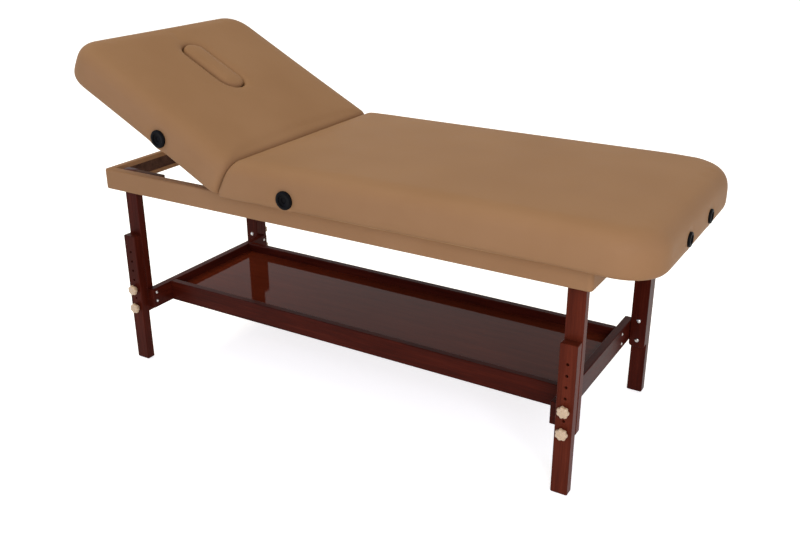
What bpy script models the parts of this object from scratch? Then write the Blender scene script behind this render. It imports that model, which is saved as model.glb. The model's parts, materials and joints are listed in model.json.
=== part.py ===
# Stationary facial bed: lift back on ratchet hinges, vinyl apron frame, telescoping wooden legs, shelf.
# Metres, +Z up. +X is the foot end, -X the head end, -Y the near long side.
import math

import bmesh
import bpy
from mathutils import Matrix, Vector

# Clearance that seated pieces keep to each other.
GAP = 0.0003

# Heights above the floor.
APRON_TOP = 0.637
APRON_HEIGHT = 0.063
LOWER_LEG_TOP = 0.429
POST_BOTTOM = 0.163
STRETCHER_BOTTOM = 0.180
STRETCHER_HEIGHT = 0.065

# Plan sizes of the frame.
FRAME_HALF_WIDTH = 0.320
APRON_HEAD_X = -0.760
APRON_FOOT_X = 0.822
APRON_THICK = 0.0285
END_RAIL_THICK = 0.0215
APRON_EDGE = 0.004
HEAD_POST_INSET = 0.051

# Legs.
POST_WIDTH = 0.048
POST_THICK = 0.025
POST_CHAMFER = 0.009
LOWER_LEG_WIDTH = 0.046
WOOD_EDGE = 0.0015
HOLE_PITCH = 0.03175
LEG_HOLE_RADIUS = 0.0042
SPARE_HOLES = 4
KNOB_SPACING = 2 * HOLE_PITCH
LOWER_KNOB_Z = 0.1845

# Star knobs and the carriage bolts they pull on.
KNOB_LOBES = 7
KNOB_LOBE_STEPS = 4
KNOB_RADIUS = 0.0165
KNOB_LOBE_DEPTH = 0.0026
KNOB_HEAD = 0.013
KNOB_ROUND = 0.003
KNOB_STEM_RADIUS = 0.0085
KNOB_STEM = 0.006
BOLT_RADIUS = 0.0038
BOLT_HEAD_RADIUS = 0.0065
BOLT_HEAD_HEIGHT = 0.0035
BOLT_STEPS = 12

# Stretchers and the shelf tray.
STRETCHER_THICK = 0.024
SHELF_RAIL_Y = 0.2085
SHELF_RAIL_THICK = 0.022
SHELF_PANEL_THICK = 0.010
SHELF_PANEL_RISE = 0.0275
SHELF_GROOVE = 0.006

# Cross rails and rest cleats inside the apron.
CROSS_RAIL_THICK = 0.024
CROSS_RAIL_HEIGHT = 0.058
MIDDLE_CROSS_RAIL_X = 0.400
CLEAT_LENGTH = 0.110
CLEAT_THICK = 0.020
CLEAT_HEIGHT = 0.036

# Pads.
PAD_HALF_WIDTH = 0.374
PAD_THICK = 0.112
PAD_FOOT_X = 0.980
PAD_TOP_ROLL = 0.046
PAD_BASE_ROLL = 0.020
FOOT_CORNER = 0.118
HEAD_CORNER = 0.094
SEAM_CORNER = 0.030
PAD_CROWN = 0.005
PAD_DRAW_IN = 0.004
SEAT_HEAD_SETBACK = 0.014
SEAT_WEDGE_LENGTH = 0.160
BOARD_THICK = 0.012
BOARD_INSET = 0.022

# Lift back.
HINGE_X = -0.270
HINGE_DROP = 0.022
BACK_ANGLE = math.radians(27.6)
BACK_MAX_ANGLE = math.radians(45)
BACK_LENGTH = 0.6547
BACK_SETBACK = 0.012
BATTEN_START = 0.045
BATTEN_LENGTH = 0.180
BATTEN_THICK = 0.022
BATTEN_DROP = 0.015

# Ratchet hinges.
ARM_THICK = 0.004
ARM_HEIGHT = 0.024
BASE_ARM_LENGTH = 0.180
SWING_ARM_LENGTH = 0.200
HUB_RADIUS = 0.021
HUB_STEPS = 24
DRUM_THICK = 0.012
DRUM_EDGE = 0.0015
PIN_RADIUS = 0.006
PIN_HEAD_RADIUS = 0.010
PIN_HEAD_THICK = 0.003

# Breath hole in the lift back, with its padded plug.
HOLE_CENTRE = 0.405
HOLE_LENGTH = 0.236
HOLE_WIDTH = 0.086
PLUG_PLAY = 0.001
PLUG_RISE = 0.002
PLUG_ROLL = 0.008
PLUG_LEDGE = 0.012

# Capped accessory ports in the pads.
SIDE_PORT_HEIGHT = 0.034
SIDE_PORT_RADIUS = 0.026
FOOT_PORT_HEIGHT = 0.027
FOOT_PORT_RADIUS = 0.019
PORT_STEM = 0.018
PORT_STEM_SHARE = 0.65
PORT_SINK = 0.004
PORT_PROUD = 0.003
PORT_DISH_SHARE = 0.62
PORT_DISH = 0.002
PORT_STEPS = 20
SEAT_PORT_X = -0.024
BACK_PORT_DISTANCE = 0.249
FOOT_PORT_Y = 0.097

# Heights and planes that follow from the sizes above.
BASE_Z = APRON_TOP + GAP
HINGE_Z = BASE_Z - HINGE_DROP
APRON_BOTTOM = APRON_TOP - APRON_HEIGHT
APRON_INNER = FRAME_HALF_WIDTH - APRON_THICK
POST_OUTER = APRON_INNER - GAP
POST_INNER = POST_OUTER - POST_THICK
STRETCHER_TOP = STRETCHER_BOTTOM + STRETCHER_HEIGHT
HEAD_POST_X = APRON_HEAD_X + HEAD_POST_INSET + POST_WIDTH / 2
FOOT_POST_X = APRON_FOOT_X - END_RAIL_THICK - GAP - POST_WIDTH / 2
HEAD_STRETCHER_X = HEAD_POST_X + POST_WIDTH / 2 + GAP + STRETCHER_THICK / 2
FOOT_STRETCHER_X = FOOT_POST_X - POST_WIDTH / 2 - GAP - STRETCHER_THICK / 2
SEAT_HEAD_X = HINGE_X + SEAT_HEAD_SETBACK
BOARD_CORNER = FOOT_CORNER - BOARD_INSET
SEAT_CROSS_RAIL_X = HINGE_X + BASE_ARM_LENGTH + CROSS_RAIL_THICK

SIDES = {"near": -1, "far": 1}
ENDS = {"head": HEAD_POST_X, "foot": FOOT_POST_X}

# Base colour, roughness and metallic value of each finish.
FINISHES = {
    "tan_vinyl": ((0.33, 0.19, 0.10), 0.45, 0.0),
    "mahogany_wood": ((0.085, 0.022, 0.012), 0.28, 0.0),
    "shelf_wood": ((0.075, 0.030, 0.018), 0.18, 0.0),
    "plain_wood": ((0.42, 0.29, 0.16), 0.60, 0.0),
    "black_plastic": ((0.012, 0.012, 0.013), 0.40, 0.0),
    "cream_plastic": ((0.60, 0.44, 0.30), 0.35, 0.0),
    "steel": ((0.45, 0.45, 0.46), 0.35, 1.0),
}


def clear_scene():
    for old in list(bpy.data.objects):
        bpy.data.objects.remove(old, do_unlink=True)


def make_materials():
    made = {}
    for name, (colour, roughness, metallic) in FINISHES.items():
        material = bpy.data.materials.new(name)
        material.use_nodes = True
        shader = material.node_tree.nodes["Principled BSDF"]
        shader.inputs["Base Color"].default_value = (*colour, 1.0)
        shader.inputs["Roughness"].default_value = roughness
        shader.inputs["Metallic"].default_value = metallic
        made[name] = material
    return made


clear_scene()
MATERIALS = make_materials()
PARTS = bpy.data.collections.new("facial_bed")
CUTTERS = bpy.data.collections.new("facial_bed_cutters")
bpy.context.scene.collection.children.link(PARTS)
bpy.context.scene.collection.children.link(CUTTERS)


def make_empty(name, place=(0.0, 0.0, 0.0), parent=None):
    empty = bpy.data.objects.new(name, None)
    empty.location = place
    empty.parent = parent
    PARTS.objects.link(empty)
    return empty


ROOT = make_empty("bed_origin")
BACK = make_empty("back_hinge", (HINGE_X, 0.0, HINGE_Z), ROOT)


def place_part(name, mesh, finish, place, parent=ROOT, turn=None):
    part = bpy.data.objects.new(name, mesh)
    mesh.materials.append(MATERIALS[finish])
    part.location = place
    if turn is not None:
        part.rotation_euler = turn
    part.parent = parent
    PARTS.objects.link(part)
    return part


def finish_mesh(name, bm, smooth_angle=None):
    bmesh.ops.recalc_face_normals(bm, faces=bm.faces)
    mesh = bpy.data.meshes.new(name)
    bm.to_mesh(mesh)
    bm.free()
    if smooth_angle is not None:
        mesh.shade_smooth()
        mesh.set_sharp_from_angle(angle=math.radians(smooth_angle))
    return mesh


def cube_bm(size):
    bm = bmesh.new()
    bmesh.ops.create_cube(bm, size=1.0)
    bmesh.ops.scale(bm, vec=size, verts=bm.verts)
    return bm


def edges_along(bm, axis, keep=lambda middle: True):
    found = []
    for edge in bm.edges:
        run = edge.verts[1].co - edge.verts[0].co
        along = abs(run[axis]) > 0.999 * run.length
        if along and keep((edge.verts[0].co + edge.verts[1].co) / 2):
            found.append(edge)
    return found


def round_edges(bm, edges, radius, segments):
    bmesh.ops.bevel(bm, geom=edges, offset=radius, segments=segments, profile=0.5, affect="EDGES")


def box_part(name, low, high, finish, parent=ROOT, edge=WOOD_EDGE):
    low, high = Vector(low), Vector(high)
    bm = cube_bm(high - low)
    round_edges(bm, bm.edges[:], edge, 1)
    return place_part(name, finish_mesh(name, bm), finish, (low + high) / 2, parent)


def board_mesh(name, size, corner, segments):
    # A flat board with rounded plan corners.
    bm = cube_bm(size)
    round_edges(bm, edges_along(bm, 2), corner, segments)
    return finish_mesh(name, bm)


def turned_mesh(name, profile, steps):
    # Profile points are (radius, height) from one end of the axis to the other, turned round Z.
    bm = bmesh.new()
    verts = [bm.verts.new((radius, 0.0, height)) for radius, height in profile]
    edges = [bm.edges.new(pair) for pair in zip(verts, verts[1:])]
    bmesh.ops.spin(bm, geom=verts + edges, cent=(0, 0, 0), axis=(0, 0, 1), angle=2 * math.pi, steps=steps)
    bmesh.ops.remove_doubles(bm, verts=bm.verts, dist=0.00001)
    return finish_mesh(name, bm, 40)


def cutter(name, mesh, place, parent=ROOT, turn=None):
    tool = bpy.data.objects.new(name, mesh)
    tool.location = place
    if turn is not None:
        tool.rotation_euler = turn
    tool.parent = parent
    tool.hide_render = True
    tool.display_type = "WIRE"
    CUTTERS.objects.link(tool)
    return tool


def cut(part, tool):
    modifier = part.modifiers.new(tool.name, "BOOLEAN")
    modifier.operation = "DIFFERENCE"
    modifier.object = tool


def rod_mesh(name, radius, length, steps):
    half = length / 2
    return turned_mesh(name, [(0.0, half), (radius, half), (radius, -half), (0.0, -half)], steps)


# A turned piece stands on Z, and these turns lay its top end towards a side or an end.
TURN_TO = {
    "near": (math.pi / 2, 0.0, 0.0),
    "far": (-math.pi / 2, 0.0, 0.0),
    "foot": (0.0, math.pi / 2, 0.0),
}


def stations(low, high, low_roll, high_roll, count):
    # Cut positions: close together round each rolled edge, even in between.
    shares = (0.0, 0.18, 0.45, 0.75, 1.0)
    first = [low + low_roll * share for share in shares[1:]]
    last = [high - high_roll * share for share in shares[1:]]
    start, stop = first[-1], last[-1]
    middle = [start + (stop - start) * step / (count + 1) for step in range(1, count + 1)]
    return sorted(first + middle + last)


def roll_pair(inset, drop, radius):
    # Moves a point on a square edge (inset from the side, drop from the face) onto a round one.
    across = max(0.0, 1.0 - inset / radius)
    up = max(0.0, 1.0 - drop / radius)
    if across == 0.0 or up == 0.0:
        return inset, drop
    length = math.hypot(across, up)
    return radius * (1.0 - across / length), radius * (1.0 - up / length)


def cushion_bm(low, high, corners, top_roll, base_roll, crown, draw_in, counts):
    # A padded block: rolled edges, round plan corners (head, foot), crowned top, drawn-in sides.
    low, high = Vector(low), Vector(high)
    size, middle = high - low, (low + high) / 2
    bm = cube_bm(size)
    bmesh.ops.translate(bm, vec=middle, verts=bm.verts)
    cuts = (
        stations(low.x, high.x, min(corners[0], top_roll), min(corners[1], top_roll), counts[0]),
        stations(low.y, high.y, top_roll, top_roll, counts[1]),
        sorted((low.z + base_roll * 0.4, low.z + base_roll, high.z - top_roll, high.z - top_roll * 0.4)),
    )
    for axis, places in enumerate(cuts):
        normal = Vector((axis == 0, axis == 1, axis == 2))
        for place in places:
            bmesh.ops.bisect_plane(bm, geom=bm.verts[:] + bm.edges[:] + bm.faces[:], plane_co=normal * place,
                                   plane_no=normal, dist=0.000001)
    for vert in bm.verts:
        vert.co = cushion_point(vert.co, low, high, corners, top_roll, base_roll, crown, draw_in)
    return bm


def cushion_point(point, low, high, corners, top_roll, base_roll, crown, draw_in):
    # A corner may be shorter along X than the rolled edge is deep, so it is an ellipse in plan.
    middle = (low + high) / 2
    deep = corners[0] if point.x < middle.x else corners[1]
    wide = max(deep, top_roll)
    core = Vector((
        min(max(point.x, low.x + corners[0]), high.x - corners[1]),
        min(max(point.y, low.y + wide), high.y - wide),
    ))
    out = Vector(((point.x - core.x) / deep, (point.y - core.y) / wide))
    reach = max(abs(out.x), abs(out.y))
    height = point.z
    if reach > 0.0:
        inset = wide * (1 - reach)
        inset, top_drop = roll_pair(inset, high.z - height, top_roll)
        height = high.z - top_drop
        inset, base_drop = roll_pair(inset, height - low.z, base_roll)
        height = low.z + base_drop
        out *= (1 - inset / wide) / reach
        out *= max(abs(out.x), abs(out.y)) / out.length
    place = Vector((core.x + out.x * deep, core.y + out.y * wide))
    along = 2 * (place.x - middle.x) / (high.x - low.x)
    across = 2 * (place.y - middle.y) / (high.y - low.y)
    lift = (height - low.z) / (high.z - low.z)
    height += crown * lift * max(0.0, 1 - along ** 4) * max(0.0, 1 - across ** 4)
    side = (place.y - middle.y) * (1 - 2 * draw_in / (high.y - low.y) * max(0.0, 1 - along ** 2))
    return Vector((place.x, middle.y + side, height))


def side_reach(x, low_x, high_x):
    # How far the drawn-in side of a pad stands from its middle line at x.
    along = 2 * (x - (low_x + high_x) / 2) / (high_x - low_x)
    return PAD_HALF_WIDTH - PAD_DRAW_IN * (1 - along ** 2)


def port_cap(name, place, direction, parent, pad, radius):
    # A capped port: its stem and the back of its flange sit in a stepped pocket of the pad.
    flange = PORT_SINK + PORT_PROUD
    stem = radius * PORT_STEM_SHARE
    dish = radius * PORT_DISH_SHARE
    cap = turned_mesh(name, [
        (0.0, flange - PORT_DISH),
        (dish - PORT_DISH, flange - PORT_DISH),
        (dish, flange),
        (radius - PORT_PROUD, flange),
        (radius, PORT_SINK),
        (radius, 0.0),
        (stem, 0.0),
        (stem, -PORT_STEM),
        (0.0, -PORT_STEM),
    ], PORT_STEPS)
    mouth = radius
    pocket = turned_mesh(name + "_pocket", [
        (0.0, mouth),
        (radius + GAP, mouth),
        (radius + GAP, -GAP),
        (stem + GAP, -GAP),
        (stem + GAP, -PORT_STEM - GAP),
        (0.0, -PORT_STEM - GAP),
    ], PORT_STEPS)
    turn = TURN_TO[direction]
    place_part(name, cap, "black_plastic", place, parent, turn)
    cut(pad, cutter(name + "_pocket", pocket, place, parent, turn))


def build_apron():
    for side, sign in SIDES.items():
        ys = sorted((sign * APRON_INNER, sign * FRAME_HALF_WIDTH))
        box_part("apron_rail_" + side, (APRON_HEAD_X, ys[0], APRON_BOTTOM), (APRON_FOOT_X, ys[1], APRON_TOP),
                 "tan_vinyl", edge=APRON_EDGE)
    inner = APRON_INNER - GAP
    ends = {"head": APRON_HEAD_X, "foot": APRON_FOOT_X - END_RAIL_THICK}
    for end, x in ends.items():
        box_part("apron_rail_" + end, (x, -inner, APRON_BOTTOM), (x + END_RAIL_THICK, inner, APRON_TOP),
                 "tan_vinyl", edge=APRON_EDGE)
    rails = {"cross_rail_seat": SEAT_CROSS_RAIL_X, "cross_rail_middle": MIDDLE_CROSS_RAIL_X}
    for name, x in rails.items():
        half = CROSS_RAIL_THICK / 2
        box_part(name, (x - half, -inner, APRON_TOP - CROSS_RAIL_HEIGHT), (x + half, inner, APRON_TOP),
                 "plain_wood")
    start = HEAD_POST_X + POST_WIDTH / 2 + GAP
    for side, sign in SIDES.items():
        ys = sorted((sign * inner, sign * (inner - CLEAT_THICK)))
        box_part("rest_cleat_" + side, (start, ys[0], APRON_TOP - CLEAT_HEIGHT),
                 (start + CLEAT_LENGTH, ys[1], APRON_TOP), "plain_wood")


def post_mesh(name, size):
    # The two bottom edges that cross the post's wide face are rounded off.
    bm = cube_bm(size)
    round_edges(bm, edges_along(bm, 1, lambda middle: middle.z < 0), POST_CHAMFER, 2)
    return finish_mesh(name, bm)


def knob_mesh(name):
    # A lobed grip on a short stem, made on Z with its stem at the bottom.
    mesh = turned_mesh(name, [
        (0.0, KNOB_STEM + KNOB_HEAD),
        (KNOB_RADIUS - 2 * KNOB_ROUND, KNOB_STEM + KNOB_HEAD - KNOB_ROUND / 3),
        (KNOB_RADIUS, KNOB_STEM + KNOB_HEAD - KNOB_ROUND),
        (KNOB_RADIUS, KNOB_STEM + KNOB_ROUND),
        (KNOB_RADIUS - KNOB_ROUND, KNOB_STEM),
        (KNOB_STEM_RADIUS, KNOB_STEM),
        (KNOB_STEM_RADIUS, 0.0),
        (0.0, 0.0),
    ], KNOB_LOBES * KNOB_LOBE_STEPS)
    for vert in mesh.vertices:
        radius = math.hypot(vert.co.x, vert.co.y)
        grip = (radius - KNOB_STEM_RADIUS) / (KNOB_RADIUS - KNOB_STEM_RADIUS)
        if grip > 0.01:
            wave = 0.5 - 0.5 * math.cos(KNOB_LOBES * math.atan2(vert.co.y, vert.co.x))
            scale = 1 - grip * wave * KNOB_LOBE_DEPTH / radius
            vert.co.x *= scale
            vert.co.y *= scale
    return mesh


def bolt_mesh(name):
    # A carriage bolt: domed head on the post's inner face, shank through the post.
    return turned_mesh(name, [
        (0.0, BOLT_HEAD_HEIGHT),
        (BOLT_HEAD_RADIUS * 0.6, BOLT_HEAD_HEIGHT * 0.75),
        (BOLT_HEAD_RADIUS, 0.0),
        (BOLT_RADIUS, 0.0),
        (BOLT_RADIUS, -POST_THICK - GAP),
        (0.0, -POST_THICK - GAP),
    ], BOLT_STEPS)


def build_leg(side, end):
    sign, x = SIDES[side], ENDS[end]
    label = side + "_" + end
    inward = "far" if side == "near" else "near"
    post_size = (POST_WIDTH, POST_THICK, APRON_TOP - POST_BOTTOM)
    post_y = sign * (POST_OUTER + POST_INNER) / 2
    post = place_part("leg_post_" + label, post_mesh("leg_post_" + label, post_size), "mahogany_wood",
                      (x, post_y, (APRON_TOP + POST_BOTTOM) / 2))
    leg_thick = FRAME_HALF_WIDTH - POST_OUTER - GAP
    leg_y = sign * (FRAME_HALF_WIDTH - leg_thick / 2)
    bm = cube_bm((LOWER_LEG_WIDTH, leg_thick, LOWER_LEG_TOP))
    round_edges(bm, bm.edges[:], WOOD_EDGE, 1)
    leg = place_part("lower_leg_" + label, finish_mesh("lower_leg_" + label, bm), "mahogany_wood",
                     (x, leg_y, LOWER_LEG_TOP / 2))
    knob_heights = {"lower": LOWER_KNOB_Z, "upper": LOWER_KNOB_Z + KNOB_SPACING}
    drill = rod_mesh("leg_drill", LEG_HOLE_RADIUS, 2 * leg_thick, BOLT_STEPS)
    count = round(KNOB_SPACING / HOLE_PITCH) + 1 + SPARE_HOLES
    for index in range(count):
        z = LOWER_KNOB_Z + index * HOLE_PITCH
        cut(leg, cutter("leg_drill_%s_%d" % (label, index), drill, (x, leg_y, z), turn=TURN_TO["near"]))
    post_drill = rod_mesh("post_drill", BOLT_RADIUS + GAP, 2 * POST_THICK, BOLT_STEPS)
    for level, z in knob_heights.items():
        name = "%s_%s" % (label, level)
        cut(post, cutter("post_drill_" + name, post_drill, (x, post_y, z), turn=TURN_TO["near"]))
        place_part("leg_bolt_" + name, bolt_mesh("leg_bolt_" + name), "steel",
                   (x, sign * (POST_INNER - GAP), z), turn=TURN_TO[inward])
        place_part("knob_" + name, knob_mesh("knob_" + name), "cream_plastic",
                   (x, sign * (FRAME_HALF_WIDTH + GAP), z), turn=TURN_TO[side])


def build_shelf():
    half = STRETCHER_THICK / 2
    panel_low = STRETCHER_BOTTOM + SHELF_PANEL_RISE
    panel_high = panel_low + SHELF_PANEL_THICK
    head_face = HEAD_STRETCHER_X + half
    foot_face = FOOT_STRETCHER_X - half
    rail_inner = SHELF_RAIL_Y - SHELF_RAIL_THICK
    framing = []
    for end, x in {"head": HEAD_STRETCHER_X, "foot": FOOT_STRETCHER_X}.items():
        framing.append(box_part("stretcher_" + end, (x - half, -POST_OUTER, STRETCHER_BOTTOM),
                                (x + half, POST_OUTER, STRETCHER_TOP), "mahogany_wood"))
    for side, sign in SIDES.items():
        ys = sorted((sign * rail_inner, sign * SHELF_RAIL_Y))
        framing.append(box_part("shelf_rail_" + side, (head_face + GAP, ys[0], STRETCHER_BOTTOM),
                                (foot_face - GAP, ys[1], STRETCHER_TOP), "mahogany_wood"))
    panel_x = (head_face - SHELF_GROOVE, foot_face + SHELF_GROOVE)
    panel_y = rail_inner + SHELF_GROOVE
    box_part("shelf_panel", (panel_x[0] + GAP, -panel_y + GAP, panel_low),
             (panel_x[1] - GAP, panel_y - GAP, panel_high), "shelf_wood", edge=WOOD_EDGE / 2)
    groove_size = (panel_x[1] - panel_x[0], 2 * panel_y, SHELF_PANEL_THICK + 2 * GAP)
    groove = finish_mesh("shelf_groove", cube_bm(groove_size))
    centre = (sum(panel_x) / 2, 0.0, (panel_low + panel_high) / 2)
    tool = cutter("shelf_groove", groove, centre)
    for piece in framing:
        cut(piece, tool)


def build_seat():
    low = Vector((SEAT_HEAD_X, -PAD_HALF_WIDTH, BASE_Z))
    high = Vector((PAD_FOOT_X, PAD_HALF_WIDTH, BASE_Z + PAD_THICK))
    corners = (SEAM_CORNER, FOOT_CORNER)
    bm = cushion_bm(low, high, corners, PAD_TOP_ROLL, PAD_BASE_ROLL, PAD_CROWN, PAD_DRAW_IN, (7, 5))
    slope = math.tan(BACK_MAX_ANGLE)
    for vert in bm.verts:
        share = max(0.0, 1 - (vert.co.x - SEAT_HEAD_X) / SEAT_WEDGE_LENGTH)
        vert.co.x += share * slope * (vert.co.z - BASE_Z)
    pad = place_part("main_pad", finish_mesh("main_pad", bm, 60), "tan_vinyl", (0, 0, 0))
    board_low = Vector((SEAT_HEAD_X + BOARD_INSET, BOARD_INSET - PAD_HALF_WIDTH, BASE_Z))
    board_high = Vector((PAD_FOOT_X - BOARD_INSET, PAD_HALF_WIDTH - BOARD_INSET, BASE_Z + BOARD_THICK))
    seat_board("deck_board", board_low, board_high, ROOT, pad)
    for side, sign in SIDES.items():
        y = sign * (side_reach(SEAT_PORT_X, SEAT_HEAD_X, PAD_FOOT_X) - PORT_SINK)
        seat_place = (SEAT_PORT_X, y, BASE_Z + SIDE_PORT_HEIGHT)
        port_cap("port_cap_seat_" + side, seat_place, side, ROOT, pad, SIDE_PORT_RADIUS)
        foot_place = (PAD_FOOT_X - PORT_SINK, sign * FOOT_PORT_Y, BASE_Z + FOOT_PORT_HEIGHT)
        port_cap("port_cap_foot_" + side, foot_place, "foot", ROOT, pad, FOOT_PORT_RADIUS)


def seat_board(name, low, high, parent, pad):
    # A plywood board let into the underside of a pad.
    size, middle = high - low, (low + high) / 2
    board = place_part(name, board_mesh(name, size, BOARD_CORNER, 4), "plain_wood", middle, parent)
    room = size + Vector((2 * GAP, 2 * GAP, 2 * GAP))
    pocket = cutter(name + "_pocket", board_mesh(name + "_pocket", room, BOARD_CORNER, 4), middle, parent)
    cut(pad, pocket)
    return board


def build_back():
    # Modelled flat about the hinge axis, then raised by turning the hinge empty.
    base, top = HINGE_DROP, HINGE_DROP + PAD_THICK
    low = Vector((-BACK_LENGTH, -PAD_HALF_WIDTH, base))
    high = Vector((-BACK_SETBACK, PAD_HALF_WIDTH, top))
    corners = (HEAD_CORNER, SEAM_CORNER)
    bm = cushion_bm(low, high, corners, PAD_TOP_ROLL, PAD_BASE_ROLL, PAD_CROWN, PAD_DRAW_IN, (4, 5))
    pad = place_part("backrest_pad", finish_mesh("backrest_pad", bm, 60), "tan_vinyl", (0, 0, 0), BACK)
    board_low = Vector((low.x + BOARD_INSET, low.y + BOARD_INSET, base))
    board_high = Vector((high.x - BOARD_INSET, high.y - BOARD_INSET, base + BOARD_THICK))
    board = seat_board("backrest_board", board_low, board_high, BACK, pad)
    hole_place = (-HOLE_CENTRE, 0.0, (base + top) / 2)
    hole_size = Vector((HOLE_LENGTH, HOLE_WIDTH, 2 * PAD_THICK))
    hole = board_mesh("breath_hole", hole_size, HOLE_WIDTH / 2 * 0.999, 8)
    cut(pad, cutter("breath_hole", hole, hole_place, BACK))
    ledge_size = hole_size - Vector((2 * PLUG_LEDGE, 2 * PLUG_LEDGE, 0))
    ledge = board_mesh("board_hole", ledge_size, ledge_size.y / 2 * 0.999, 8)
    cut(board, cutter("board_hole", ledge, hole_place, BACK))
    plug_half = HOLE_WIDTH / 2 - PLUG_PLAY
    plug_low = Vector((PLUG_PLAY - HOLE_LENGTH / 2, -plug_half, base + BOARD_THICK + GAP))
    plug_high = Vector((HOLE_LENGTH / 2 - PLUG_PLAY, plug_half, top + PAD_CROWN + PLUG_RISE))
    bm = cushion_bm(plug_low, plug_high, (plug_half, plug_half), PLUG_ROLL, PLUG_ROLL / 2, 0.0, 0.0, (4, 2))
    place_part("face_plug", finish_mesh("face_plug", bm, 60), "tan_vinyl", (-HOLE_CENTRE, 0, 0), BACK)
    for side, sign in SIDES.items():
        x = -BACK_PORT_DISTANCE
        y = sign * (side_reach(x, low.x, high.x) - PORT_SINK)
        port_cap("port_cap_back_" + side, (x, y, base + SIDE_PORT_HEIGHT), side, BACK, pad, SIDE_PORT_RADIUS)


def arm_mesh(name, length, direction):
    # A flat strap with a round eye at the hinge end, bored for the pin, in the XZ plane.
    bm = bmesh.new()
    bmesh.ops.create_cone(bm, cap_ends=True, segments=HUB_STEPS, radius1=HUB_RADIUS, radius2=HUB_RADIUS,
                          depth=ARM_THICK)
    bmesh.ops.rotate(bm, cent=(0, 0, 0), matrix=Matrix.Rotation(math.pi / 2, 3, "X"), verts=bm.verts)
    eye = finish_mesh(name, bm)
    strap_size = (length, ARM_THICK, ARM_HEIGHT)
    strap = finish_mesh(name + "_strap", cube_bm(strap_size))
    bore = rod_mesh(name + "_bore", PIN_RADIUS + GAP, 4 * ARM_THICK, HUB_STEPS)
    return eye, strap, Vector((direction * length / 2, 0, 0)), bore


def build_arm(name, length, direction, place, parent):
    eye, strap, offset, bore = arm_mesh(name, length, direction)
    arm = place_part(name, eye, "steel", place, parent)
    tool = cutter(name + "_strap", strap, Vector(place) + offset, parent)
    join = arm.modifiers.new("strap", "BOOLEAN")
    join.operation = "UNION"
    join.object = tool
    cut(arm, cutter(name + "_bore", bore, place, parent, TURN_TO["near"]))


def build_ratchets():
    # From the apron inwards: base arm, swing arm, ratchet drum, pin head; battens carry the swing arms.
    for side, sign in SIDES.items():
        base_y = APRON_INNER - GAP - ARM_THICK / 2
        swing_y = base_y - ARM_THICK - GAP
        drum_y = swing_y - ARM_THICK / 2 - GAP - DRUM_THICK / 2
        drum_inner = drum_y - DRUM_THICK / 2
        build_arm("ratchet_base_arm_" + side, BASE_ARM_LENGTH, 1, (HINGE_X, sign * base_y, HINGE_Z), ROOT)
        build_arm("ratchet_swing_arm_" + side, SWING_ARM_LENGTH, -1, (0.0, sign * swing_y, 0.0), BACK)
        bore = PIN_RADIUS + GAP
        half = DRUM_THICK / 2
        drum = turned_mesh("ratchet_drum_" + side, [
            (bore, half),
            (HUB_RADIUS - DRUM_EDGE, half),
            (HUB_RADIUS, half - DRUM_EDGE),
            (HUB_RADIUS, -half),
            (bore, -half),
            (bore, half),
        ], HUB_STEPS)
        place_part("ratchet_drum_" + side, drum, "steel", (0.0, sign * drum_y, 0.0), BACK,
                   TURN_TO["far" if side == "near" else "near"])
        outer = base_y + ARM_THICK / 2
        pin = turned_mesh("ratchet_pin_" + side, [
            (0.0, PIN_HEAD_THICK),
            (PIN_HEAD_RADIUS, PIN_HEAD_THICK * 0.5),
            (PIN_HEAD_RADIUS, 0.0),
            (PIN_RADIUS, 0.0),
            (PIN_RADIUS, drum_inner - GAP - outer),
            (0.0, drum_inner - GAP - outer),
        ], HUB_STEPS)
        place_part("ratchet_pin_" + side, pin, "steel", (HINGE_X, sign * (drum_inner - GAP), HINGE_Z),
                   turn=TURN_TO["far" if side == "near" else "near"])
        batten_outer = swing_y - ARM_THICK / 2 - GAP
        ys = sorted((sign * batten_outer, sign * (batten_outer - BATTEN_THICK)))
        box_part("backrest_batten_" + side, (-BATTEN_START - BATTEN_LENGTH, ys[0], -BATTEN_DROP),
                 (-BATTEN_START, ys[1], HINGE_DROP - GAP), "plain_wood", BACK)


def stand_on_floor():
    # Puts the origin under the middle of the whole bed, on the floor.
    bpy.context.view_layer.update()
    graph = bpy.context.evaluated_depsgraph_get()
    corners = []
    for part in PARTS.objects:
        if part.type == "MESH":
            shape = part.evaluated_get(graph)
            corners += [part.matrix_world @ vert.co for vert in shape.data.vertices]
    for axis in (0, 1):
        values = [corner[axis] for corner in corners]
        ROOT.location[axis] = -(min(values) + max(values)) / 2
    ROOT.location[2] = -min(corner.z for corner in corners)
    bpy.context.view_layer.update()


build_apron()
for leg_side in SIDES:
    for leg_end in ENDS:
        build_leg(leg_side, leg_end)
build_shelf()
build_seat()
build_back()
build_ratchets()
BACK.rotation_euler = (0.0, BACK_ANGLE, 0.0)
stand_on_floor()
print("back hinge at", tuple(round(value, 5) for value in BACK.matrix_world.translation))
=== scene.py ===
import json
import math

import bmesh
import bpy
from mathutils import Matrix, Vector

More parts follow.
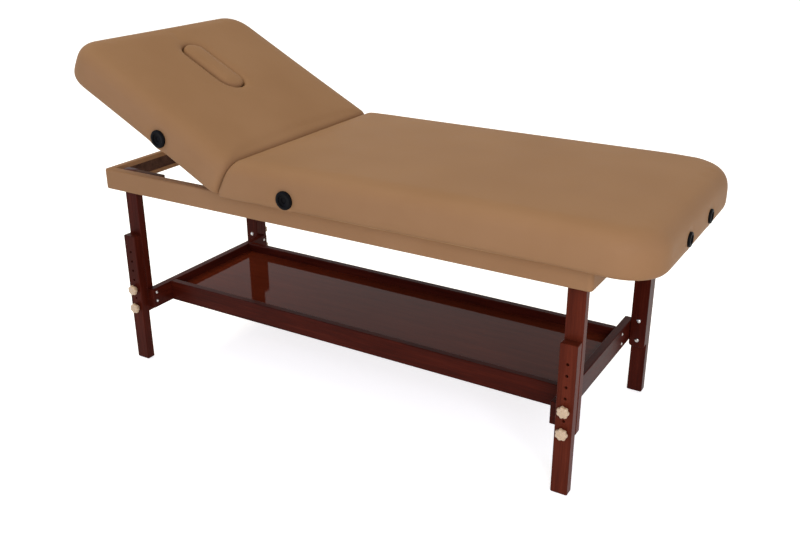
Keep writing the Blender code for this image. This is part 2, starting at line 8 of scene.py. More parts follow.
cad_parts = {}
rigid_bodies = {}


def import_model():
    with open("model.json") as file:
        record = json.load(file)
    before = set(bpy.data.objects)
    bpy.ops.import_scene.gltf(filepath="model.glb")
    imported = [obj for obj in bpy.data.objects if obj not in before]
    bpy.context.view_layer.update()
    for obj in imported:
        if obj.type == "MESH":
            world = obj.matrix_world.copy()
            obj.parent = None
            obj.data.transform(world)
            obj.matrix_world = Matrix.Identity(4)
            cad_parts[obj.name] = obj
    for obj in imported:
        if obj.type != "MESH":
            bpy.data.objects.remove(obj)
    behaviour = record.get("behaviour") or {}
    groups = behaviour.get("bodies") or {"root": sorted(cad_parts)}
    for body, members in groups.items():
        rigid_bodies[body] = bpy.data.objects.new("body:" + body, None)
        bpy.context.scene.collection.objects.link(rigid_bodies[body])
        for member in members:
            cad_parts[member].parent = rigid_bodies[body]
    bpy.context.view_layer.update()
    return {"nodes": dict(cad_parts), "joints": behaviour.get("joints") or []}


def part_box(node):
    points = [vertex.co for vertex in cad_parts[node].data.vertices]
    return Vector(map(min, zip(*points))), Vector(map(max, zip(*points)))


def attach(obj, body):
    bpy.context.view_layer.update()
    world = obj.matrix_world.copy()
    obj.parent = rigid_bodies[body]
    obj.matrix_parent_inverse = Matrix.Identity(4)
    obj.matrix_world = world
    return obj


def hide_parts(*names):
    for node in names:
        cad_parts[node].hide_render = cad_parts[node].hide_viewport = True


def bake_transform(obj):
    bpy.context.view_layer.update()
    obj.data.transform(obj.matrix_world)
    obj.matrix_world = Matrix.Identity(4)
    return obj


for leftover in list(bpy.data.objects):
    bpy.data.objects.remove(leftover)

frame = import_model()
nodes = frame["nodes"]
scene = bpy.context.scene
millimetre = 0.001
sides = {"near": -1, "far": 1}
ends = ("head", "foot")
print("frame loaded:", len(nodes), "nodes")


def linearColour(hexText):
    channels = [int(hexText[place:place + 2], 16) / 255 for place in (1, 3, 5)]
    linear = [c / 12.92 if c <= 0.04045 else ((c + 0.055) / 1.055) ** 2.4 for c in channels]
    return (*linear, 1.0)


def addNode(tree, kind, values=None, links=None, stops=(), **settings):
    node = tree.nodes.new(kind)
    for key, value in settings.items():
        setattr(node, key, value)
    for key, value in (values or {}).items():
        node.inputs[key].default_value = value
    for key, source in (links or {}).items():
        tree.links.new(source, node.inputs[key])
    for index, (position, hexText) in enumerate(stops):  # colour stops of a ramp, in rising order
        points = node.color_ramp.elements
        point = points[index] if index < len(points) else points.new(position)
        point.position = position
        point.color = linearColour(hexText)
    return node


def startMaterial(name, values):
    material = bpy.data.materials.new(name)
    material.use_nodes = True
    tree = material.node_tree
    shader = tree.nodes["Principled BSDF"]
    for key, value in values.items():
        shader.inputs[key].default_value = value
    place = addNode(tree, "ShaderNodeTexCoord")
    return material, tree, shader, place.outputs["Object"]


# Upholstery vinyl: PVC on a knit backing, embossed with a fine leather grain. The eye sees a soft satin
# sheen that spreads over rounded edges, and a slightly uneven tan.
def makeVinyl():
    look = {
        "colour": "#987351",
        "paler": "#9b7654",
        "darker": "#95704e",
        "roughness": (0.42, 0.52),
        "shine": 0.03,
        "grain": 2.4 * millimetre,  # the real 1 mm pebble drawn coarser, so that it shows
        "grainDepth": 0.25 * millimetre,
        "grainStrength": 0.16,
        "handWave": 60 * millimetre,
        "waveDepth": 1.2 * millimetre,
        "waveStrength": 0.10,
        "dye": 240 * millimetre,
    }
    values = {"IOR": 1.5, "Specular IOR Level": look["shine"]}
    material, tree, shader, place = startMaterial("upholsteryVinyl", values)
    dye = addNode(tree, "ShaderNodeTexNoise", {"Scale": 1 / look["dye"], "Detail": 3.0}, {"Vector": place})
    colour = addNode(tree, "ShaderNodeValToRGB", links={"Fac": dye.outputs["Fac"]},
                     stops=[(0.3, look["darker"]), (0.5, look["colour"]), (0.7, look["paler"])])
    pebble = addNode(tree, "ShaderNodeTexVoronoi", {"Scale": 1 / look["grain"], "Randomness": 1.0},
                     {"Vector": place}, feature="SMOOTH_F1")
    fine = addNode(tree, "ShaderNodeTexNoise", {"Scale": 2 / look["grain"], "Detail": 2.0}, {"Vector": place})
    grain = addNode(tree, "ShaderNodeMath", operation="ADD")
    tree.links.new(pebble.outputs["Distance"], grain.inputs[0])
    tree.links.new(fine.outputs["Fac"], grain.inputs[1])
    wave = addNode(tree, "ShaderNodeTexNoise", {"Scale": 1 / look["handWave"], "Detail": 1.0},
                   {"Vector": place})
    low, high = look["roughness"]
    rough = addNode(tree, "ShaderNodeMapRange", {"To Min": low, "To Max": high},
                    {"Value": wave.outputs["Fac"]})
    broad = addNode(tree, "ShaderNodeBump", {"Strength": look["waveStrength"], "Distance": look["waveDepth"]},
                    {"Height": wave.outputs["Fac"]})
    bump = addNode(tree, "ShaderNodeBump",
                   {"Strength": look["grainStrength"], "Distance": look["grainDepth"]},
                   {"Height": grain.outputs["Value"], "Normal": broad.outputs["Normal"]})
    tree.links.new(colour.outputs["Color"], shader.inputs["Base Color"])
    tree.links.new(rough.outputs["Result"], shader.inputs["Roughness"])
    tree.links.new(bump.outputs["Normal"], shader.inputs["Normal"])
    return material


# Stained hardwood under gloss lacquer: long dark grain lines in a red-brown stain, a clear coat over them,
# and pores that only break the gloss a little.
def makeMahogany(name, axis, look):
    values = {"IOR": 1.5, "Specular IOR Level": look["shine"], "Coat Weight": look["coat"], "Coat IOR": 1.5,
              "Coat Roughness": look["coatRoughness"]}
    material, tree, shader, place = startMaterial(name, values)
    run = [1 / look["lineWidth"]] * 3
    run[axis] = 1 / look["lineLength"]
    stretched = addNode(tree, "ShaderNodeMapping", {"Scale": run}, {"Vector": place})
    grain = {"Scale": 1.0, "Detail": 5.0, "Roughness": look["lineDetail"], "Distortion": look["lineWaver"]}
    lines = addNode(tree, "ShaderNodeTexNoise", grain, {"Vector": stretched.outputs["Vector"]})
    bands = [1 / look["bandWidth"]] * 3
    bands[axis] = 1 / look["bandLength"]
    banded = addNode(tree, "ShaderNodeMapping", {"Scale": bands}, {"Vector": place})
    figure = addNode(tree, "ShaderNodeTexNoise", {"Scale": 1.0, "Detail": 2.0},
                     {"Vector": banded.outputs["Vector"]})
    mixed = addNode(tree, "ShaderNodeMix", {"Factor": look["bandShare"]}, data_type="FLOAT")
    tree.links.new(lines.outputs["Fac"], mixed.inputs[2])
    tree.links.new(figure.outputs["Fac"], mixed.inputs[3])
    colour = addNode(tree, "ShaderNodeValToRGB", links={"Fac": mixed.outputs[0]},
                     stops=[(0.34, look["dark"]), (0.52, look["stain"]), (0.70, look["light"])])
    low, high = look["roughness"]
    rough = addNode(tree, "ShaderNodeMapRange", {"To Min": low, "To Max": high},
                    {"Value": lines.outputs["Fac"]})
    bump = addNode(tree, "ShaderNodeBump", {"Strength": look["poreStrength"], "Distance": look["poreDepth"]},
                   {"Height": lines.outputs["Fac"]})
    tree.links.new(colour.outputs["Color"], shader.inputs["Base Color"])
    tree.links.new(rough.outputs["Result"], shader.inputs["Roughness"])
    tree.links.new(bump.outputs["Normal"], shader.inputs["Normal"])
    return material


# Moulded plastic: one colour through the piece, with the faint orange-peel of a mould wall.
def makePlastic(name, look):
    material, tree, shader, place = startMaterial(name, {"IOR": 1.46, "Specular IOR Level": look["shine"]})
    peel = addNode(tree, "ShaderNodeTexNoise", {"Scale": 1 / look["peel"], "Detail": 2.0}, {"Vector": place})
    colour = addNode(tree, "ShaderNodeValToRGB", links={"Fac": peel.outputs["Fac"]},
                     stops=[(0.3, look["dark"]), (0.7, look["light"])])
    low, high = look["roughness"]
    rough = addNode(tree, "ShaderNodeMapRange", {"To Min": low, "To Max": high},
                    {"Value": peel.outputs["Fac"]})
    bump = addNode(tree, "ShaderNodeBump", {"Strength": look["peelStrength"], "Distance": look["peelDepth"]},
                   {"Height": peel.outputs["Fac"]})
    tree.links.new(colour.outputs["Color"], shader.inputs["Base Color"])
    tree.links.new(rough.outputs["Result"], shader.inputs["Roughness"])
    tree.links.new(bump.outputs["Normal"], shader.inputs["Normal"])
    return material


# Zinc-plated steel: pale grey metal, dulled in patches, with fine rolling lines along X.
def makeSteel():
    look = {"bright": "#c9c7c2", "dull": "#a5a39e", "roughness": (0.26, 0.44), "lineWidth": 0.8 * millimetre,
            "lineLength": 32 * millimetre, "lineDepth": 0.1 * millimetre, "lineStrength": 0.06,
            "patch": 14 * millimetre}
    material, tree, shader, place = startMaterial("zincSteel", {"Metallic": 1.0})
    run = (1 / look["lineLength"], 1 / look["lineWidth"], 1 / look["lineWidth"])
    stretched = addNode(tree, "ShaderNodeMapping", {"Scale": run}, {"Vector": place})
    lines = addNode(tree, "ShaderNodeTexNoise", {"Scale": 1.0, "Detail": 3.0},
                    {"Vector": stretched.outputs["Vector"]})
    patches = addNode(tree, "ShaderNodeTexNoise", {"Scale": 1 / look["patch"], "Detail": 3.0},
                      {"Vector": place})
    colour = addNode(tree, "ShaderNodeValToRGB", links={"Fac": patches.outputs["Fac"]},
                     stops=[(0.35, look["dull"]), (0.65, look["bright"])])
    low, high = look["roughness"]
    rough = addNode(tree, "ShaderNodeMapRange", {"To Min": low, "To Max": high},
                    {"Value": lines.outputs["Fac"]})
    bump = addNode(tree, "ShaderNodeBump", {"Strength": look["lineStrength"], "Distance": look["lineDepth"]},
                   {"Height": lines.outputs["Fac"]})
    tree.links.new(colour.outputs["Color"], shader.inputs["Base Color"])
    tree.links.new(rough.outputs["Result"], shader.inputs["Roughness"])
    tree.links.new(bump.outputs["Normal"], shader.inputs["Normal"])
    return material


lacquer = {"dark": "#330f08", "stain": "#42140b", "light": "#511d11", "roughness": (0.26, 0.38),
           "shine": 0.035, "coat": 0.01, "coatRoughness": 0.12,
           "lineWidth": 3.0 * millimetre, "lineLength": 120 * millimetre, "lineDetail": 0.62,
           "lineWaver": 0.4, "bandWidth": 22 * millimetre, "bandLength": 176 * millimetre, "bandShare": 0.45,
           "poreDepth": 0.2 * millimetre, "poreStrength": 0.08}
# paler copy of the leg stain, painted light for the lit near-foot leg; the plain lacquer above is its darker,
# shaded copy
paintedLightLacquer = dict(lacquer, dark="#481a0f", stain="#572214", light="#672b1b")
shelfLacquer = dict(lacquer, dark="#561f0f", stain="#5f2514", light="#682b17", roughness=(0.03, 0.06),
                    shine=0.055, coat=0.0)
railBack = dict(lacquer, dark="#3a261d", stain="#4f372b", light="#644839", roughness=(0.5, 0.65), coat=0.0)
bareWood = dict(lacquer, dark="#a98459", stain="#c09c6e", light="#d2b083", roughness=(0.6, 0.75), coat=0.0)
blackNylon = {"dark": "#070607", "light": "#0d0c0d", "roughness": (0.38, 0.50), "shine": 0.05,
              "peel": 1.5 * millimetre, "peelDepth": 0.15 * millimetre, "peelStrength": 0.12}
creamNylon = dict(blackNylon, dark="#c0a382", light="#ceb594", roughness=(0.24, 0.34), shine=0.55,
                  peel=3 * millimetre)

vinyl = makeVinyl()
steel = makeSteel()
mahogany = [makeMahogany("mahoganyAlong" + letter, axis, lacquer) for axis, letter in enumerate("XYZ")]
paintedLightMahogany = makeMahogany("paintedLightMahoganyAlongZ", 2, paintedLightLacquer)
shelfGloss = makeMahogany("shelfLacquerAlongX", 0, shelfLacquer)
railWood = makeMahogany("stainedRailWood", 0, railBack)
plainWood = [makeMahogany("bareWoodAlong" + letter, axis, bareWood) for axis, letter in enumerate("XYZ")]
portPlastic = makePlastic("blackNylon", blackNylon)
knobPlastic = makePlastic("creamNylon", creamNylon)
print("materials made:", len(bpy.data.materials))


# a face counts as broad from this area, and from this many times the face beside it
flatSpec = {"area": 10 * (10 * millimetre) ** 2, "ratio": 4, "turn": math.radians(3)}


def shadeMesh(mesh, smooth):
    # smooth round the softened edges, while a broad flat face stays flat up to them
    mesh.shade_smooth()
    mesh.set_sharp_from_angle(angle=math.radians(smooth))
    bm = bmesh.new()
    bm.from_mesh(mesh)
    for edge in bm.edges:
        if len(edge.link_faces) == 2 and edge.calc_face_angle(0) > flatSpec["turn"]:
            small, large = sorted(face.calc_area() for face in edge.link_faces)
            if large > flatSpec["area"] and large > flatSpec["ratio"] * small:
                edge.smooth = False
    bm.to_mesh(mesh)
    bm.free()


def meshPiece(name, bm, materials, smooth=35):
    mesh = bpy.data.meshes.new(name)
    bmesh.ops.recalc_face_normals(bm, faces=bm.faces)
    bm.to_mesh(mesh)
    bm.free()
    for material in materials:
        mesh.materials.append(material)
    if smooth:
        shadeMesh(mesh, smooth)
    piece = bpy.data.objects.new(name, mesh)
    scene.collection.objects.link(piece)
    return piece


def settle(piece, body, slot, *replaced):
    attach(piece, body)
    if replaced:
        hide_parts(*replaced)


def boxMesh(low, high):
    bm = bmesh.new()
    bmesh.ops.create_cube(bm, size=1.0)
    bmesh.ops.scale(bm, vec=high - low, verts=bm.verts)
    bmesh.ops.translate(bm, vec=(low + high) / 2, verts=bm.verts)
    return bm


def turnedMesh(profile, steps):
    # profile points are (radius, height), turned round Z
    bm = bmesh.new()
    points = [bm.verts.new((radius, 0, height)) for radius, height in profile]
    edges = [bm.edges.new(pair) for pair in zip(points, points[1:])]
    bmesh.ops.spin(bm, geom=points + edges, cent=(0, 0, 0), axis=(0, 0, 1), angle=2 * math.pi, steps=steps)
    bmesh.ops.remove_doubles(bm, verts=bm.verts, dist=0.01 * millimetre)
    bmesh.ops.recalc_face_normals(bm, faces=bm.faces)
    return bm


def applyModifiers(piece):
    graph = bpy.context.evaluated_depsgraph_get()
    mesh = bpy.data.meshes.new_from_object(piece.evaluated_get(graph))
    piece.modifiers.clear()
    piece.data = mesh


def cutAway(piece, tools):
    for tool in tools:
        cut = piece.modifiers.new("cut", "BOOLEAN")
        cut.object = tool
        cut.operation = "DIFFERENCE"
    applyModifiers(piece)
    for tool in tools:
        bpy.data.objects.remove(tool)


def roundEdges(bm, edges, offset, segments):
    bmesh.ops.bevel(bm, geom=edges, offset=offset, segments=segments, profile=0.5, affect="EDGES")


def toolFrom(name, bm):
    mesh = bpy.data.meshes.new(name)
    bm.to_mesh(mesh)
    bm.free()
    tool = bpy.data.objects.new(name, mesh)
    scene.collection.objects.link(tool)
    return tool


# camera at the photographer's place
cameraSpec = {"place": (1.3893, -2.24695, 1.46237), "yaw": 31.022, "pitch": 22.481, "roll": -0.227,
              "lens": 42.304, "sensor": 36.0}
cameraData = bpy.data.cameras.new("photoCamera")
cameraData.sensor_fit = "HORIZONTAL"
cameraData.sensor_width = cameraSpec["sensor"]
cameraData.lens = cameraSpec["lens"]
camera = bpy.data.objects.new("photoCamera", cameraData)
scene.collection.objects.link(camera)
turn = (Matrix.Rotation(math.radians(cameraSpec["yaw"]), 4, "Z")
        @ Matrix.Rotation(math.radians(90 - cameraSpec["pitch"]), 4, "X")
        @ Matrix.Rotation(math.radians(cameraSpec["roll"]), 4, "Z"))
camera.matrix_world = Matrix.Translation(cameraSpec["place"]) @ turn
scene.camera = camera


# cushions: a rolled block, shaped by the foam that presses out against its cover
# rollCuts gives the cuts across each roll, as shares of its radius
rollCuts = {"plan": (0.08, 0.2, 0.36, 0.56, 0.78, 1.0), "base": (0.15, 0.4, 0.7, 1.0),
            "top": (0.1, 0.25, 0.45, 0.7, 1.0), "merge": 0.001 * millimetre}


def padStations(low, high, lowRoll, highRoll, spacing):
    first = [low + lowRoll * share for share in rollCuts["plan"]]
    last = [high - highRoll * share for share in rollCuts["plan"]]
    count = max(1, round((last[-1] - first[-1]) / spacing))
    middle = [first[-1] + (last[-1] - first[-1]) * step / count for step in range(1, count)]
    return sorted(first + middle + last)


def rolled(inset, drop, radius):
    across = max(0.0, 1 - inset / radius)
    up = max(0.0, 1 - drop / radius)
    if across == 0 or up == 0:
        return inset, drop
    length = math.hypot(across, up)
    return radius * (1 - across / length), radius * (1 - up / length)


def padPoint(point, low, high, spec):
    middle = (low + high) / 2
    headCorner, footCorner = spec["corners"]
    deep = (headCorner if point.x < middle.x else footCorner) or spec["topRoll"]
    wide = max(deep, spec["topRoll"])
    core = Vector((min(max(point.x, low.x + headCorner), high.x - footCorner),
                   min(max(point.y, low.y + wide), high.y - wide)))
    out = Vector(((point.x - core.x) / deep, (point.y - core.y) / wide))
    reach = max(abs(out.x), abs(out.y))
    height = point.z
    if reach > 0:
        inset = wide * (1 - reach)
        inset, topDrop = rolled(inset, high.z - height, spec["topRoll"])
        height = high.z - topDrop
        inset, baseDrop = rolled(inset, height - low.z, spec["baseRoll"])
        height = low.z + baseDrop
        out *= (1 - inset / wide) / reach
        out *= max(abs(out.x), abs(out.y)) / out.length
    place = Vector((core.x + out.x * deep, core.y + out.y * wide))
    along = 2 * (place.x - middle.x) / (high.x - low.x)
    across = 2 * (place.y - middle.y) / (high.y - low.y)
    lift = (height - low.z) / (high.z - low.z)
    height += spec["crown"] * lift * max(0.0, 1 - along ** 4) * max(0.0, 1 - across ** 4)
    side = (place.y - middle.y) * (1 - 2 * spec["drawIn"] / (high.y - low.y) * max(0.0, 1 - along ** 2))
    return tuckSeam(Vector((place.x, middle.y + side, height)), low, high, spec)


def tuckSeam(point, low, high, spec):
    # a square end, where two pads meet, only has its edge tucked in
    headCorner, footCorner = spec["corners"]
    if headCorner and footCorner:
        return point
    toSeam = high.x - point.x if headCorner else point.x - low.x
    tuck, roll = spec["tuck"], spec["topRoll"]
    if toSeam >= tuck:
        return point
    reachY = math.copysign(max(0.0, abs(point.y) - (high.y - roll)), point.y)
    reachZ = max(0.0, point.z - (high.z - roll))
    pull = tuck * (1 - math.sqrt(1 - (1 - max(0.0, toSeam) / tuck) ** 2)) / roll
    return point - Vector((0, reachY, reachZ)) * pull


def padMesh(low, high, spec):
    bm = boxMesh(low, high)
    headRoll, footRoll = (min(corner, spec["topRoll"]) or spec["tuck"] for corner in spec["corners"])
    top, base = spec["topRoll"], spec["baseRoll"]
    heights = [low.z + base * share for share in rollCuts["base"]]
    heights += [high.z - top * share for share in rollCuts["top"]]
    cuts = (padStations(low.x, high.x, headRoll, footRoll, spec["spacing"]),
            padStations(low.y, high.y, top, top, spec["spacing"]), sorted(heights))
    for axis, places in enumerate(cuts):
        normal = Vector((axis == 0, axis == 1, axis == 2))
        for place in places:
            bmesh.ops.bisect_plane(bm, geom=bm.verts[:] + bm.edges[:] + bm.faces[:], plane_co=normal * place,
                                   plane_no=normal, dist=rollCuts["merge"])
    for vert in bm.verts:
        vert.co = padPoint(vert.co, low, high, spec)
    return bm


def remeshCover(piece, voxel):
    remesh = piece.modifiers.new("remesh", "REMESH")
    remesh.mode = "VOXEL"
    remesh.voxel_size = voxel
    applyModifiers(piece)


coverSpec = {"quality": 3, "mass": 0.35, "stretch": 20, "shear": 12, "bend": 1.5, "ease": 0.5}


def swell(piece, spec, baseHeight):
    # the cover is held where it is stapled under the board, and swells everywhere else
    mesh = piece.data
    start = [vert.co.copy() for vert in mesh.vertices]
    outward = [vert.normal.copy() for vert in mesh.vertices]
    heldTop = baseHeight + spec["heldBand"]
    held = piece.vertex_groups.new(name="held")
    held.add([index for index, co in enumerate(start) if co.z < heldTop], 1.0, "REPLACE")
    cover = piece.modifiers.new("cover", "CLOTH")
    cloth = cover.settings
    cloth.quality = coverSpec["quality"]
    cloth.mass = coverSpec["mass"]
    cloth.tension_stiffness = coverSpec["stretch"]
    cloth.compression_stiffness = coverSpec["stretch"]
    cloth.shear_stiffness = coverSpec["shear"]
    cloth.bending_stiffness = coverSpec["bend"]
    cloth.use_pressure = True
    cloth.uniform_pressure_force = spec["pressure"]
    cloth.effector_weights.gravity = 0
    cloth.vertex_group_mass = "held"
    cover.point_cache.frame_start = 1
    cover.point_cache.frame_end = spec["frames"]
    for step in range(1, spec["frames"] + 1):
        scene.frame_set(step)
    graph = bpy.context.evaluated_depsgraph_get()
    swollen = piece.evaluated_get(graph).to_mesh()
    moved = [vert.co.copy() for vert in swollen.vertices]
    piece.evaluated_get(graph).to_mesh_clear()
    piece.modifiers.clear()
    piece.vertex_groups.clear()
    scene.frame_set(1)
    for vert, old, new, normal in zip(mesh.vertices, start, moved, outward):
        shift = new - old
        lift = shift.dot(normal)
        # foam stops the cover drawing in
        kept = (lift + math.hypot(lift, spec["foam"]) - spec["foam"]) / 2
        shift += normal * (kept - lift)
        if shift.length > 0:
            shift *= spec["cap"] * math.tanh(shift.length / spec["cap"]) / shift.length
        vert.co = old + shift


def smoothCover(piece, rounds):
    bm = bmesh.new()
    bm.from_mesh(piece.data)
    for _ in range(rounds):
        bmesh.ops.smooth_vert(bm, verts=bm.verts, factor=coverSpec["ease"], use_axis_x=True, use_axis_y=True,
                              use_axis_z=True)
    bm.to_mesh(piece.data)
    bm.free()


def fitCover(mesh, low, high, still):
    # smoothing draws the cover in, so it is stretched back to the size of its pad
    for axis in range(3):
        places = [vert.co[axis] - still[axis] for vert in mesh.vertices]
        below = (low[axis] - still[axis]) / min(min(places), -millimetre)
        above = (high[axis] - still[axis]) / max(max(places), millimetre)
        for vert, away in zip(mesh.vertices, places):
            vert.co[axis] = still[axis] + away * (above if away > 0 else below)


def finishCover(piece):
    piece.data.materials.clear()
    piece.data.materials.append(vinyl)
    piece.data.shade_smooth()


def pressPort(mesh, centre, outward, flange):
    # the flange of a port pulls the cover in round it
    for vert in mesh.vertices:
        away = vert.co - centre
        depth = away.dot(outward)
        radius = (away - outward * depth).length
        if radius < flange + portSpec["dimple"] and abs(depth) < portSpec["dimpleReach"]:
            share = min(1.0, (flange + portSpec["dimple"] - radius) / portSpec["dimple"])
            share = share * share * (3 - 2 * share)
            vert.co += outward * (portSpec["seat"] - depth) * share


portSpec = {"sideFlange": 26 * millimetre, "footFlange": 19 * millimetre, "dimple": 20 * millimetre,
            "dimpleReach": 30 * millimetre, "seat": 0.2 * millimetre, "rim": 7 * millimetre,
            "lip": 2.2 * millimetre, "dishShare": 0.64, "dishDepth": 3.4 * millimetre, "hubShare": 0.34,
            "hubDepth": 2.4 * millimetre, "stemShare": 0.65, "stem": 18 * millimetre, "steps": 56,
            "shadeAngle": 40}


def portFlange(name):
    return portSpec["footFlange" if "foot" in name else "sideFlange"]


def portMesh(flange):
    rim, lip = portSpec["rim"], portSpec["lip"]
    floor = rim - portSpec["dishDepth"]
    well = floor - portSpec["hubDepth"]
    dish, hub, neck = (portSpec[share] * flange for share in ("dishShare", "hubShare", "stemShare"))
    return turnedMesh([
        (0, well), (hub - 0.8 * millimetre, well), (hub, floor - 0.4 * millimetre), (hub * 1.06, floor),
        (dish - 1.6 * millimetre, floor), (dish - 0.5 * millimetre, floor + 0.6 * millimetre),
        (dish, rim - 0.5 * millimetre), (dish + 0.7 * millimetre, rim), (flange - 2.4 * lip, rim),
        (flange - lip, rim - 0.5 * millimetre), (flange - 0.3 * lip, rim - 0.55 * lip), (flange, rim - lip),
        (flange, 0), (neck, 0), (neck, -portSpec["stem"]), (0, -portSpec["stem"]),
    ], portSpec["steps"])


# the backrest stands raised about its hinge line
backTilt = math.radians(27.6)
hingePlace = Vector(frame["joints"][0]["pos_m"])
backTurn = Matrix.Translation(hingePlace) @ Matrix.Rotation(backTilt, 4, "Y")


def portPlace(node, outward):
    # the middle of the flange's back
    low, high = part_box(node)
    middle = (low + high) / 2
    reach = max(low.dot(outward), high.dot(outward))
    return middle + outward * (reach - middle.dot(outward) - portSpec["rim"])


# the way each port faces, before the backrest is raised
portFacing = {}
for side, sign in sides.items():
    portFacing["port_cap_seat_" + side] = Vector((0, sign, 0))
    portFacing["port_cap_back_" + side] = Vector((0, sign, 0))
    portFacing["port_cap_foot_" + side] = Vector((1, 0, 0))


# main cushion: leans against the backrest's seam face at the head end
mainSpec = {"corners": (0, 118 * millimetre), "tuck": 18 * millimetre, "topRoll": 48 * millimetre,
            "baseRoll": 20 * millimetre, "crown": 5 * millimetre, "drawIn": 4 * millimetre,
            "spacing": 22 * millimetre, "shrink": 2 * millimetre, "voxel": 6 * millimetre,
            "heldBand": 4 * millimetre, "pressure": 4.0, "frames": 20, "cap": 3 * millimetre,
            "foam": 3 * millimetre, "smooth": 7, "lean": math.tan(backTilt), "leanLength": 0.16,
            "seamGap": 4 * millimetre, "blend": 0.035, "blendHeight": 0.05, "droop": 10 * millimetre,
            "droopFrom": 0.22}
# seam end of the backrest, from the hinge line
seamSpec = {"setback": 12 * millimetre, "baseRise": 22 * millimetre}


def makeMainCushion():
    low, high = (Vector(corner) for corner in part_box("main_pad"))
    high.z -= mainSpec["crown"]
    base = low.z
    seamFoot = backTurn @ Vector((-seamSpec["setback"], 0, seamSpec["baseRise"]))
    low.x = seamFoot.x + mainSpec["seamGap"] / math.cos(backTilt)
    shrink = mainSpec["shrink"]
    innerLow = low + Vector((0, shrink, 0))
    innerHigh = high - Vector((shrink, shrink, shrink))
    bm = padMesh(innerLow, innerHigh, dict(mainSpec, crown=mainSpec["crown"] - shrink))
    for vert in bm.verts:
        share = max(0.0, 1 - (vert.co.x - low.x) / mainSpec["leanLength"])
        vert.co.x += share * mainSpec["lean"] * (vert.co.z - base)
    cushion = meshPiece("mainCushion", bm, [vinyl], smooth=0)
    remeshCover(cushion, mainSpec["voxel"])
    swell(cushion, mainSpec, base)
    # foam stops at the seam face of the backrest
    faceNormal = Vector((-math.cos(backTilt), 0, math.sin(backTilt)))
    facePoint = Vector((low.x, 0, base))
    for vert in cushion.data.vertices:
        past = (vert.co - facePoint).dot(faceNormal)
        if past > 0:
            vert.co -= faceNormal * past
    smoothCover(cushion, mainSpec["smooth"])
    fitCover(cushion.data, low, high + Vector((0, 0, mainSpec["crown"])), (low + high) / 2)
    # the end that overhangs the apron hangs a little
    for vert in cushion.data.vertices:
        share = max(0.0, 1 - (high.x - vert.co.x) / mainSpec["droopFrom"])
        vert.co.z -= mainSpec["droop"] * share ** 2
    for name in ("port_cap_seat_near", "port_cap_seat_far", "port_cap_foot_near", "port_cap_foot_far"):
        pressPort(cushion.data, portPlace(name, portFacing[name]), portFacing[name], portFlange(name))
    finishCover(cushion)
    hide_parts("main_pad")
    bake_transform(cushion)
    print("main cushion:", len(cushion.data.polygons), "faces")


# backrest cushion: made flat about the hinge line, then raised
backSpec = {"corners": (94 * millimetre, 0), "tuck": 24 * millimetre, "topRoll": 46 * millimetre,
            "baseRoll": 20 * millimetre, "crown": 5 * millimetre, "drawIn": 4 * millimetre,
            "spacing": 22 * millimetre, "shrink": 2 * millimetre, "voxel": 5 * millimetre,
            "heldBand": 4 * millimetre, "pressure": 4.0, "frames": 20, "cap": 3 * millimetre,
            "foam": 3 * millimetre, "smooth": 7, "length": 0.6547, "thick": 0.112,
            "halfWidth": 0.374}
# breath hole, along the backrest from the hinge line
holeSpec = {"centre": -0.405, "length": 0.236, "width": 0.086, "open": 0.5 * millimetre, "reach": 0.2,
            "steps": 14}


def slotMesh(length, width, low, high):
    steps = holeSpec["steps"]
    bm = bmesh.new()
    rings = []
    straight = (length - width) / 2
    for height in (low, high):
        ring = []
        for end, sign in ((0, 1), (math.pi, -1)):
            for step in range(steps + 1):
                angle = end - math.pi / 2 + math.pi * step / steps
                ring.append(bm.verts.new((holeSpec["centre"] + sign * straight + width / 2 * math.cos(angle),
                                          width / 2 * math.sin(angle), height)))
        rings.append(ring)
    count = len(rings[0])
    for index in range(count):
        after = (index + 1) % count
        bm.faces.new((rings[0][index], rings[0][after], rings[1][after], rings[1][index]))
    bm.faces.new(reversed(rings[0]))
    bm.faces.new(rings[1])
    return bm


def makeBackCushion():
    low = Vector((-backSpec["length"], -backSpec["halfWidth"], seamSpec["baseRise"]))
    high = Vector((-seamSpec["setback"], backSpec["halfWidth"], seamSpec["baseRise"] + backSpec["thick"]))
    shrink = backSpec["shrink"]
    innerLow = low + Vector((shrink, shrink, 0))
    innerHigh = high - Vector((0, shrink, shrink))
    bm = padMesh(innerLow, innerHigh, dict(backSpec, crown=backSpec["crown"] - shrink))
    cushion = meshPiece("backCushion", bm, [vinyl], smooth=0)
    grown = 2 * (shrink + holeSpec["open"])
    hole = slotMesh(holeSpec["length"] + grown, holeSpec["width"] + grown, 0.0, holeSpec["reach"])
    cutAway(cushion, [toolFrom("breathHole", hole)])
    remeshCover(cushion, backSpec["voxel"])
    swell(cushion, backSpec, low.z)
    for vert in cushion.data.vertices:
        vert.co.x = min(vert.co.x, high.x)
    smoothCover(cushion, backSpec["smooth"])
    fitCover(cushion.data, low, high + Vector((0, 0, backSpec["crown"])), (low + high) / 2)
    for name in ("port_cap_back_near", "port_cap_back_far"):
        place = backTurn.inverted() @ portPlace(name, portFacing[name])
        pressPort(cushion.data, place, portFacing[name], portFlange(name))
    cushion.data.transform(backTurn)
    finishCover(cushion)
    settle(cushion, "backrest", "tan_vinyl", "backrest_pad")
    print("back cushion:", len(cushion.data.polygons), "faces")


# plug of the breath hole: a small cushion of its own
plugSpec = {"topRoll": 9 * millimetre, "baseRoll": 5 * millimetre, "crown": 1.5 * millimetre, "drawIn": 0.0,
            "spacing": 8 * millimetre, "shrink": 1 * millimetre, "voxel": 4 * millimetre,
            "heldBand": 3 * millimetre, "pressure": 4.0, "frames": 20, "cap": 3 * millimetre,
            "foam": 2 * millimetre, "smooth": 2, "play": 1.2 * millimetre,
            "rise": 2.5 * millimetre, "board": 12.3 * millimetre, "endFlat": 0.1 * millimetre}


